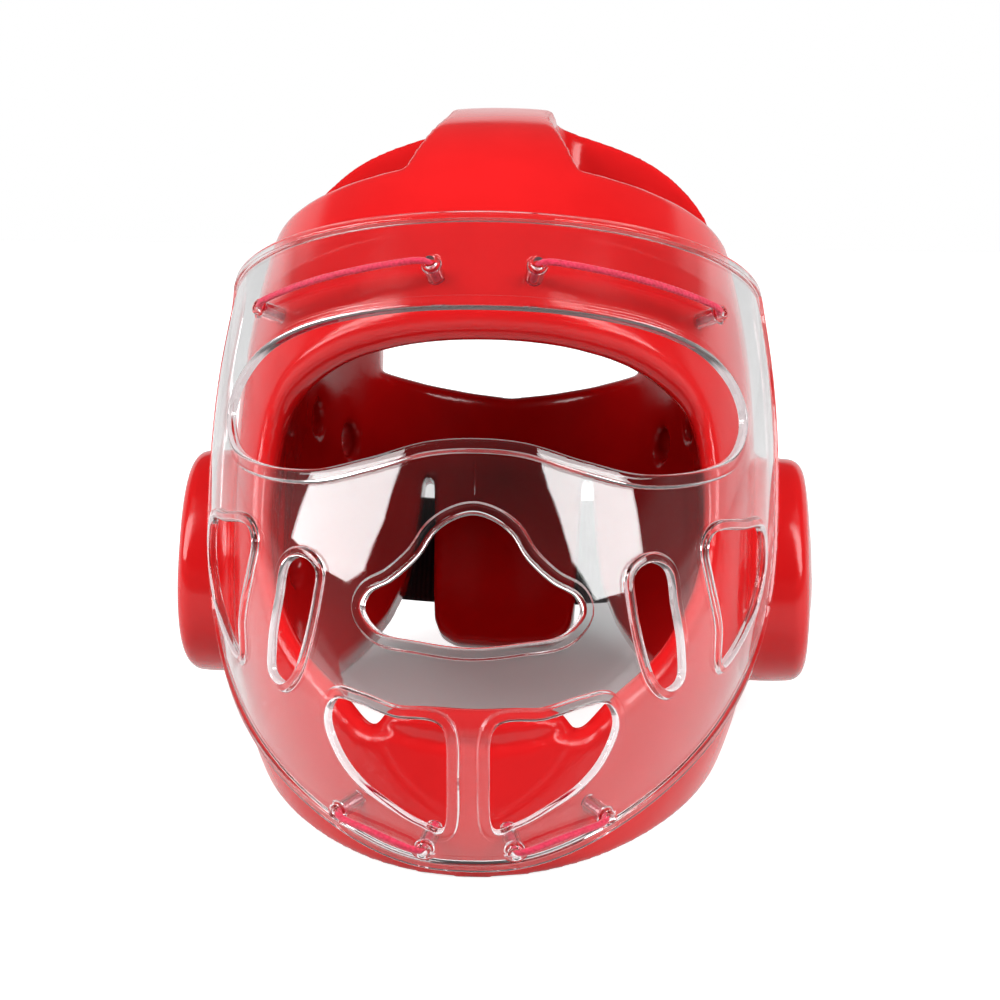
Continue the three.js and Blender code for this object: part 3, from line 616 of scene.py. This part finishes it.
def post_edge(turn, z):
    """The edge of a post's bore on the flattened mask, with the post's section."""
    circle = np.linspace(0, 2 * math.pi, POST_SIDES, endpoint=False)
    around, up = (np.linalg.norm(v) for v in mask_slopes(turn, z))
    across = (turn + POST_BORE * np.cos(circle) / around) * FLAT
    return np.column_stack([across, z + POST_BORE * np.sin(circle) / up]), post(foam_depth(turn, z))


def mask_edges():
    """Every edge of the mask on the flattened mask, with the section that runs along it."""
    edges = [(mask_border(), lip(*LIPS["border"]))]
    for hole, points in HOLES.items():
        central = points[0][0] == 0
        sides = [both_halves(points)] if central else [points, [(-a, b) for a, b in points]]
        for side in sides:
            outline = smooth_outline([(math.radians(a) * FLAT, b) for a, b in side], EDGE_SPACING)
            edges.append((outline[::turning(outline)], lip(*LIPS[hole])))
    for ends in LACES.values():
        for turn, z in ends:
            edges += [post_edge(math.radians(side * turn), z) for side in (1, -1)]
    return edges


def mask_sheet(edges):
    """The level sheet between the lips, as flat points, their lift and facing, and triangles."""
    points, lift, tilt, fixed = [], [], [], []

    def add(line, up, facing, closed):
        ids = list(range(len(points), len(points) + len(line)))
        points.extend(map(tuple, line))
        lift.extend([up] * len(line))
        tilt.extend([facing] * len(line))
        fixed.extend(zip(ids, ids[1:] + ids[:1] if closed else ids[1:]))
        return ids

    rings = [outline + away_from_edge(outline) * section[0][0] for outline, section in edges]
    loops = [add(ring, 0.0, 0.0, True) for ring in rings]
    for top, low in SEAM_RUNS:
        run = np.linspace(top, low, int((top - low) / SEAM_STEP))
        for across, up, facing in SEAM:
            add(np.column_stack([np.full(len(run), across), run]), up, facing, False)
    columns = np.arange(SHEET_LOW[0], SHEET_HIGH[0], SHEET_SPACING)
    gx, gy = np.meshgrid(columns, np.arange(SHEET_LOW[1], SHEET_HIGH[1], SHEET_SPACING * SHEET_RISE))
    gx = gx + SHEET_SPACING / 2 * (np.arange(len(gx)) % 2)[:, None]
    grid = np.column_stack([gx.ravel(), gy.ravel()])
    keep = np.abs(grid[:, 0]) > SEAM_CLEAR
    for ring in rings:
        keep &= outside_ring(grid, ring) > EDGE_SPACING
    points.extend(map(tuple, grid[keep]))
    lift.extend([0.0] * int(keep.sum()))
    tilt.extend([0.0] * int(keep.sum()))

    flat, _, faces, source = delaunay_2d_cdt([Vector(p) for p in points], fixed, [], 0, WELD)[:4]
    flat = np.array([tuple(p) for p in flat])
    faces = np.array([f for f in faces if len(f) == 3])
    middle = flat[faces].mean(axis=1)
    inside = np.ones(len(faces), bool)
    for ring in rings:
        inside &= outside_ring(middle, ring) > 0
    number = {old: new for new, olds in enumerate(source) for old in olds}
    first = [olds[0] if olds else None for olds in source]
    lift = np.array([0.0 if k is None else lift[k] for k in first])
    tilt = np.array([0.0 if k is None else tilt[k] for k in first])
    return flat, lift, tilt, faces[inside], [[number[i] for i in loop] for loop in loops]


def outside_ring(points, ring):
    """Distance of flat points from a ring, positive on the side of the sheet."""
    return turning(ring) * polygon_distance(points[:, 0], points[:, 1], ring)


def make_mask(material):
    """The clear mask: a thin sheet with raised lips round its holes and edge, and posts behind it."""
    edges = mask_edges()
    flat, lift, tilt, faces, loops = mask_sheet(edges)
    turn, z, half = flat[:, 0] / FLAT, flat[:, 1], MASK_THICK / 2
    normal, across = mask_normal(turn, z), unit(mask_slopes(turn, z)[0])
    facing = normal * np.cos(tilt)[:, None] + across * np.sin(tilt)[:, None]
    middle = mask_point(turn, z)
    points = [middle + normal * (half + lift)[:, None], middle - normal * half]
    normals = [facing, -normal]
    count = len(flat)
    total = 2 * count
    sheet = [tuple(f) for f in faces] + [(c + count, b + count, a + count) for a, b, c in faces]
    for (outline, section), loop in zip(edges, loops):
        away = away_from_edge(outline)
        rows = [np.array(loop)]
        for distance_in, offset, angle in section[1:-1]:
            ring = outline + away * distance_in
            turn, z = ring[:, 0] / FLAT, ring[:, 1]
            out = mask_normal(turn, z)
            ahead = mask_point((ring + away)[:, 0] / FLAT, (ring + away)[:, 1]) - mask_point(turn, z)
            ahead = unit(ahead - out * np.sum(ahead * out, axis=1)[:, None])
            points.append(mask_point(turn, z) + out * offset)
            normals.append(out * math.cos(angle) + ahead * math.sin(angle))
            rows.append(np.arange(total, total + len(ring)))
            total += len(ring)
        rows.append(np.array(loop) + count)
        for a, b in zip(rows, rows[1:]):
            sheet += quad_rows(a, np.roll(a, -1), np.roll(b, -1), b)
    points, normals = np.vstack(points), np.vstack(normals)
    used = np.unique(np.concatenate([np.array(f) for f in sheet]))
    renumber = np.full(len(points), -1)
    renumber[used] = np.arange(len(used))
    sheet = [tuple(renumber[list(f)]) for f in sheet]
    obj = new_mesh("face_mask_clear", to_row(points[used]), sheet, material)
    obj.data.normals_split_custom_set_from_vertices(leaned(unit(normals[used])))
    return obj


def foam_depth(turn, z):
    """How far in from the mask, along its normal, the foam's outer face lies."""
    start, inward = mask_offset(turn, z, 0)[0], -mask_normal(turn, z)[0]
    depth = np.arange(0, DEPTH_REACH, DEPTH_STEP)
    level = foam_level(*(start + depth[:, None] * inward).T, 0)
    return depth[np.argmin(np.abs(level))]


def catmull(points, spacing):
    """Points of an open Catmull-Rom curve at an even spacing."""
    dense = spline(np.array(points, float), CORD_SAMPLES * len(points))
    along = np.concatenate([[0], np.cumsum(np.linalg.norm(np.diff(dense, axis=0), axis=1))])
    at = np.linspace(0, along[-1], int(along[-1] / spacing) + 1)
    return np.column_stack([np.interp(at, along, dense[:, k]) for k in range(3)])


def cord_line(ends, side):
    """The middle of a cord from inside the foam, out through a post, along the mask and in at the next."""
    (ta, za), (tb, zb) = [(math.radians(side * turn), z) for turn, z in ends]
    lie = MASK_THICK / 2 + CORD_RADIUS + CORD_LIFT

    def between(t, out):
        return mask_offset(ta + (tb - ta) * t, za + (zb - za) * t, out)[0]

    bend = CORD_BEND / np.linalg.norm(between(0, 0) - between(1, 0))
    first, last = foam_depth(ta, za), foam_depth(tb, zb)
    path = [between(0, -first - CORD_TAIL), between(0, -first / 2)]
    path += [between(bend * k, lie * up) for k, up in CORD_TURNS]
    path += [between(t, lie) for t in CORD_SPAN]
    path += [between(1 - bend * k, lie * up) for k, up in CORD_TURNS[::-1]]
    path += [between(1, -last / 2), between(1, -last - CORD_TAIL)]
    return catmull(path, CORD_STEP)


def carried_axes(line):
    """Two directions across a line at each of its points, carried along it without twist."""
    tangent = unit(np.gradient(line, axis=0))
    normal = np.zeros_like(line)
    normal[0] = unit(np.cross(tangent[0], [0, 0, 1.0]))
    for k in range(1, len(line)):
        normal[k] = unit(normal[k - 1] - tangent[k] * (normal[k - 1] @ tangent[k]))
    return normal, np.cross(tangent, normal)


def make_cord(name, ends, side, material):
    """A braided cord laced from one post to the next."""
    line = cord_line(ends, side)
    normal, other = carried_axes(line)
    angle = np.linspace(0, 2 * math.pi, CORD_SIDES, endpoint=False)
    phase = 2 * math.pi * CORD_STEP * np.arange(len(line))[:, None] / BRAID_PITCH
    left = np.cos(BRAID_STRANDS * (angle - phase))
    right = np.cos(BRAID_STRANDS * (angle + phase))
    radius = CORD_RADIUS * (BRAID_BASE + BRAID_BULGE * np.maximum(left, right))
    across = np.cos(angle)[:, None] * normal[:, None, :] + np.sin(angle)[:, None] * other[:, None, :]
    points = (line[:, None, :] + radius[:, :, None] * across).reshape(-1, 3)
    at = np.arange(len(points)).reshape(len(line), CORD_SIDES)
    after = np.roll(at, -1, axis=1)
    faces = quad_rows(at[:-1], after[:-1], after[1:], at[1:])
    faces += [at[0, ::-1].tolist(), at[-1].tolist()]
    return new_mesh(name, to_row(points), faces, material)


def off_foam(turn, z, outward):
    """Points off the foam's outer face by turn in radians and height."""
    turn, z = turn.ravel(), z.ravel()
    around = foam_face(turn + TURN_STEP, z) - foam_face(turn - TURN_STEP, z)
    up = foam_face(turn, z + FOAM_RISE_STEP) - foam_face(turn, z - FOAM_RISE_STEP)
    return foam_face(turn, z) + unit(np.cross(around, up)) * outward.ravel()[:, None]


def make_strap(material):
    """The elastic strap: a woven band with lengthwise ribs and rounded edges over the back of the foam."""
    turn = np.radians(np.linspace(STRAP_FROM, 360 - STRAP_FROM, STRAP_COLUMNS))
    turn, share = np.meshgrid(turn, np.linspace(0, 1, STRAP_ROWS), indexing="ij")
    z = STRAP_LOW + (STRAP_TOP - STRAP_LOW) * share
    edge = np.minimum(share, 1 - share) * (STRAP_TOP - STRAP_LOW)
    rounding = np.sqrt(np.clip(1 - (1 - np.clip(edge / STRAP_ROUND, 0, 1)) ** 2, 0, 1))
    ribs = RIB_HEIGHT * np.cos(2 * math.pi * (z - STRAP_LOW) / RIB_PITCH)
    outer = STRAP_LIFT + STRAP_THICK * (STRAP_MIDDLE + STRAP_OUT * rounding) + ribs * rounding
    inner = STRAP_LIFT + STRAP_THICK * (STRAP_MIDDLE - STRAP_IN * rounding)
    points = np.vstack([off_foam(turn, z, outward) for outward in (outer, inner)])
    at = np.arange(STRAP_COLUMNS * STRAP_ROWS).reshape(STRAP_COLUMNS, STRAP_ROWS)
    under = at + at.size
    quads = quad_rows(at[:-1, :-1], at[1:, :-1], at[1:, 1:], at[:-1, 1:])
    quads += quad_rows(under[:-1, :-1], under[:-1, 1:], under[1:, 1:], under[1:, :-1])
    rims = [(grid[:, 0], grid[-1, :], grid[::-1, -1], grid[0, ::-1]) for grid in (at, under)]
    for a, b in zip(*rims):
        quads += quad_rows(a[:-1], b[:-1], b[1:], a[1:])
    return new_mesh("rear_strap_elastic", to_row(points), quads, material)


def new_material(name):
    material = bpy.data.materials.new(name)
    material.use_nodes = True
    nodes = material.node_tree.nodes
    return material, nodes, material.node_tree.links, nodes["Principled BSDF"]


def noise(nodes, links, scale, detail):
    """A noise texture in row coordinates."""
    coords = nodes.new("ShaderNodeTexCoord")
    texture = nodes.new("ShaderNodeTexNoise")
    texture.inputs["Scale"].default_value = scale
    texture.inputs["Detail"].default_value = detail
    links.new(coords.outputs["Object"], texture.inputs["Vector"])
    return texture.outputs["Fac"]


def ranged(nodes, links, value, low, high, source=MOTTLE):
    """A value mapped from a texture's range to another one."""
    node = nodes.new("ShaderNodeMapRange")
    node.inputs["From Min"].default_value, node.inputs["From Max"].default_value = source
    node.inputs["To Min"].default_value, node.inputs["To Max"].default_value = low, high
    links.new(value, node.inputs["Value"])
    return node.outputs["Result"]


def colour_ramp(nodes, links, value, stops):
    """A colour by a value, between stops of a position and a colour."""
    ramp = nodes.new("ShaderNodeValToRGB")
    points = ramp.color_ramp.elements
    while len(points) < len(stops):
        points.new(0.5)
    for point, (position, colour) in zip(points, stops):
        point.position = position
        point.color = (*colour, 1)
    links.new(value, ramp.inputs["Fac"])
    return ramp.outputs["Color"]


def blend_colours(nodes, links, value, colours):
    """A pair of colours blended over a texture's range."""
    return colour_ramp(nodes, links, value, list(zip(MOTTLE, colours)))


def mix_colours(nodes, links, share, first, second):
    mix = nodes.new("ShaderNodeMix")
    mix.data_type = "RGBA"
    links.new(share, mix.inputs["Factor"])
    links.new(first, mix.inputs["A"])
    links.new(second, mix.inputs["B"])
    return mix.outputs["Result"]


def mix_shaders(nodes, links, share, first, second):
    mix = nodes.new("ShaderNodeMixShader")
    links.new(share, mix.inputs["Fac"])
    links.new(first, mix.inputs[1])
    links.new(second, mix.inputs[2])
    return mix.outputs["Shader"]


def calculate(nodes, links, operation, *values):
    """The result of a math node on sockets and numbers."""
    node = nodes.new("ShaderNodeMath")
    node.operation = operation
    for socket, value in zip(node.inputs, values):
        if isinstance(value, float):
            socket.default_value = value
        else:
            links.new(value, socket)
    return node.outputs[0]


def add_bump(nodes, links, shader, height, strength, size):
    bump = nodes.new("ShaderNodeBump")
    bump.inputs["Strength"].default_value = strength
    bump.inputs["Distance"].default_value = size
    links.new(height, bump.inputs["Height"])
    links.new(bump.outputs["Normal"], shader.inputs["Normal"])


def vinyl_material():
    """Glossy dipped vinyl: mottled red with a fine grain, and a deeper red painted on its inner face as
    shade.
    """
    material, nodes, links, shader = new_material("red_vinyl")
    mottle = noise(nodes, links, scale=22, detail=3)
    # Painted shade: the inner face is mixed towards darker reds
    painted_inner_shade = nodes.new("ShaderNodeAttribute")
    painted_inner_shade.attribute_name = "painted_inner_shade"
    outside = blend_colours(nodes, links, mottle, SKIN_REDS)
    inside = blend_colours(nodes, links, mottle, INNER_SHADE_REDS)
    colour = mix_colours(nodes, links, painted_inner_shade.outputs["Fac"], outside, inside)
    links.new(colour, shader.inputs["Base Color"])
    smears = noise(nodes, links, scale=60, detail=4)
    links.new(ranged(nodes, links, smears, 0.09, 0.16), shader.inputs["Roughness"])
    shader.inputs["Specular IOR Level"].default_value = 0.36
    grain = noise(nodes, links, scale=420, detail=3)
    add_bump(nodes, links, shader, grain, strength=0.05, size=0.0006)
    return material


def clear_material():
    """Clear polished polycarbonate that lets light through to what is behind it.

    A ray that has crossed it many times, inside a lip or a post, passes on a little dimmed.
    """
    material, nodes, links, shader = new_material("clear_polycarbonate")
    shader.inputs["Base Color"].default_value = (0.97, 0.975, 0.98, 1)
    shader.inputs["Transmission Weight"].default_value = 1.0
    haze = noise(nodes, links, scale=35, detail=3)
    links.new(ranged(nodes, links, haze, 0.008, 0.035), shader.inputs["Roughness"])
    shader.inputs["IOR"].default_value = 1.56
    clear = nodes.new("ShaderNodeBsdfTransparent")
    clear.inputs["Color"].default_value = (0.95, 0.955, 0.96, 1)
    dim = nodes.new("ShaderNodeBsdfTransparent")
    dim.inputs["Color"].default_value = (0.86, 0.75, 0.76, 1)
    ray = nodes.new("ShaderNodeLightPath").outputs
    light = calculate(nodes, links, "MAXIMUM", ray["Is Shadow Ray"], ray["Is Diffuse Ray"])
    trapped = calculate(nodes, links, "GREATER_THAN", ray["Ray Depth"], TRAPPED_DEPTH)
    lit = mix_shaders(nodes, links, light, shader.outputs["BSDF"], clear.outputs["BSDF"])
    surface = mix_shaders(nodes, links, trapped, lit, dim.outputs["BSDF"])
    links.new(surface, nodes["Material Output"].inputs["Surface"])
    return material


def cord_material():
    """Braided pink-red cord."""
    material, nodes, links, shader = new_material("pink_cord")
    fleck = noise(nodes, links, scale=900, detail=2)
    colour = blend_colours(nodes, links, fleck, CORD_PINKS)
    links.new(colour, shader.inputs["Base Color"])
    shader.inputs["Roughness"].default_value = 0.55
    shader.inputs["Sheen Weight"].default_value = 0.3
    fibres = noise(nodes, links, scale=2500, detail=2)
    add_bump(nodes, links, shader, fibres, strength=0.3, size=0.0003)
    return material


def elastic_material():
    """Woven black elastic."""
    material, nodes, links, shader = new_material("black_elastic")
    coords = nodes.new("ShaderNodeTexCoord")
    weave = nodes.new("ShaderNodeTexWave")
    weave.bands_direction = "X"
    weave.inputs["Scale"].default_value = 160
    weave.inputs["Distortion"].default_value = 0.6
    links.new(coords.outputs["Object"], weave.inputs["Vector"])
    colour = blend_colours(nodes, links, weave.outputs["Fac"], ELASTIC_BLACKS)
    links.new(colour, shader.inputs["Base Color"])
    shader.inputs["Roughness"].default_value = 0.75
    shader.inputs["Sheen Weight"].default_value = 0.2
    add_bump(nodes, links, shader, weave.outputs["Fac"], strength=0.5, size=0.0004)
    return material


def place(obj, node):
    """Stands a piece on the part in place of a CAD node."""
    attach(obj, "root")
    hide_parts(node)
    return obj


def way(turn, rise):
    """The direction from the guard at a turn and a rise in degrees, with the front at no turn."""
    turn, rise = math.radians(turn), math.radians(rise)
    return Vector((math.sin(turn) * math.cos(rise), -math.cos(turn) * math.cos(rise), math.sin(rise)))


def add_camera(target):
    camera = add_object("camera", bpy.data.cameras.new("camera"))
    camera.data.sensor_width, camera.data.lens = SENSOR, LENS
    toward = way(CAMERA_TURN, CAMERA_RISE)
    camera.location = target + toward * CAMERA_AWAY
    camera.rotation_euler = toward.to_track_quat("Z", "Y").to_euler()
    bpy.context.scene.camera = camera


def add_softbox(name, target, toward):
    """A lamp that lights the guard without showing in its gloss."""
    light = bpy.data.lights.new(name, "AREA")
    light.shape, light.energy = "RECTANGLE", LIGHT_POWER
    light.size, light.size_y = LIGHT_SIZE
    softbox = add_object(name, light)
    softbox.location = target + LIGHT_AWAY * toward
    softbox.rotation_euler = toward.to_track_quat("Z", "Y").to_euler()
    softbox.visible_glossy = softbox.visible_transmission = False


def panel_material():
    material, _, _, shader = new_material("softbox_panel")
    shader.inputs["Base Color"].default_value = (0, 0, 0, 1)
    shader.inputs["Emission Color"].default_value = (1, 1, 1, 1)
    shader.inputs["Emission Strength"].default_value = PANEL_GLOW
    return material


def add_panel(name, target, corners, material):
    """A bright panel that shows only in the gloss."""
    points = [target + PANEL_AWAY * way(*corner) for corner in corners]
    panel = new_mesh(name, points, [range(len(corners))], material)
    panel.visible_camera = panel.visible_diffuse = panel.visible_shadow = False


def add_studio():
    """A studio with a bright sweep behind, a low bright front and a dark ceiling, white to the camera."""
    world = bpy.context.scene.world or bpy.data.worlds.new("world")
    bpy.context.scene.world = world
    world.use_nodes = True
    nodes, links = world.node_tree.nodes, world.node_tree.links
    split = nodes.new("ShaderNodeSeparateXYZ")
    links.new(nodes.new("ShaderNodeTexCoord").outputs["Generated"], split.inputs["Vector"])
    front, behind = (
        colour_ramp(nodes, links, split.outputs["Z"], [(at, (grey, grey, grey)) for at, grey in stops])
        for stops in (FRONT_STOPS, BEHIND_STOPS))
    backward = ranged(nodes, links, split.outputs["Y"], 0, 1, BEHIND_RANGE)
    surround = nodes["Background"]
    surround.inputs["Strength"].default_value = STUDIO_STRENGTH
    links.new(mix_colours(nodes, links, backward, front, behind), surround.inputs["Color"])
    backdrop = nodes.new("ShaderNodeBackground")
    backdrop.inputs["Color"].default_value = (1, 1, 1, 1)
    seen = nodes.new("ShaderNodeLightPath").outputs["Is Camera Ray"]
    surface = mix_shaders(
        nodes, links, seen, surround.outputs["Background"], backdrop.outputs["Background"])
    links.new(surface, nodes["World Output"].inputs["Surface"])


def add_table():
    """A white table that the guard stands on."""
    material, nodes, links, shader = new_material("white_table")
    shader.inputs["Base Color"].default_value = (0.62, 0.62, 0.62, 1)
    shader.inputs["Roughness"].default_value = 0.6
    shader.inputs["Emission Color"].default_value = (0.84, 0.84, 0.84, 1)
    ray = nodes.new("ShaderNodeLightPath").outputs
    through = ray["Is Transmission Ray"]
    mirrored = calculate(nodes, links, "GREATER_THAN", ray["Is Glossy Ray"], through)
    direct = calculate(nodes, links, "MULTIPLY_ADD", mirrored, TABLE_MIRRORED, ray["Is Camera Ray"])
    glow = calculate(nodes, links, "MULTIPLY_ADD", through, TABLE_SEEN_THROUGH, direct)
    links.new(glow, shader.inputs["Emission Strength"])
    floor = new_mesh("table", TABLE, [range(len(TABLE))], material)


pink = cord_material()
foam = place(make_foam(vinyl_material()), "foam_shell")
place(make_mask(clear_material()), "face_mask")
for lace, ends in LACES.items():
    for side, word in ((1, "left"), (-1, "right")):
        name = f"{lace}_{word}"
        place(make_cord(name + "_braid", ends, side, pink), name)
place(make_strap(elastic_material()), "rear_strap")

target = Vector(HEAD / 1000) + Vector((CAMERA_ASIDE, 0, 0))
add_camera(target)
for name, where in LAMPS.items():
    add_softbox(name, target, way(*where))
glow = panel_material()
for name, corners in PANELS.items():
    add_panel(name, target, corners, glow)
add_studio()
add_table()
bpy.context.scene.view_settings.view_transform = "Standard"
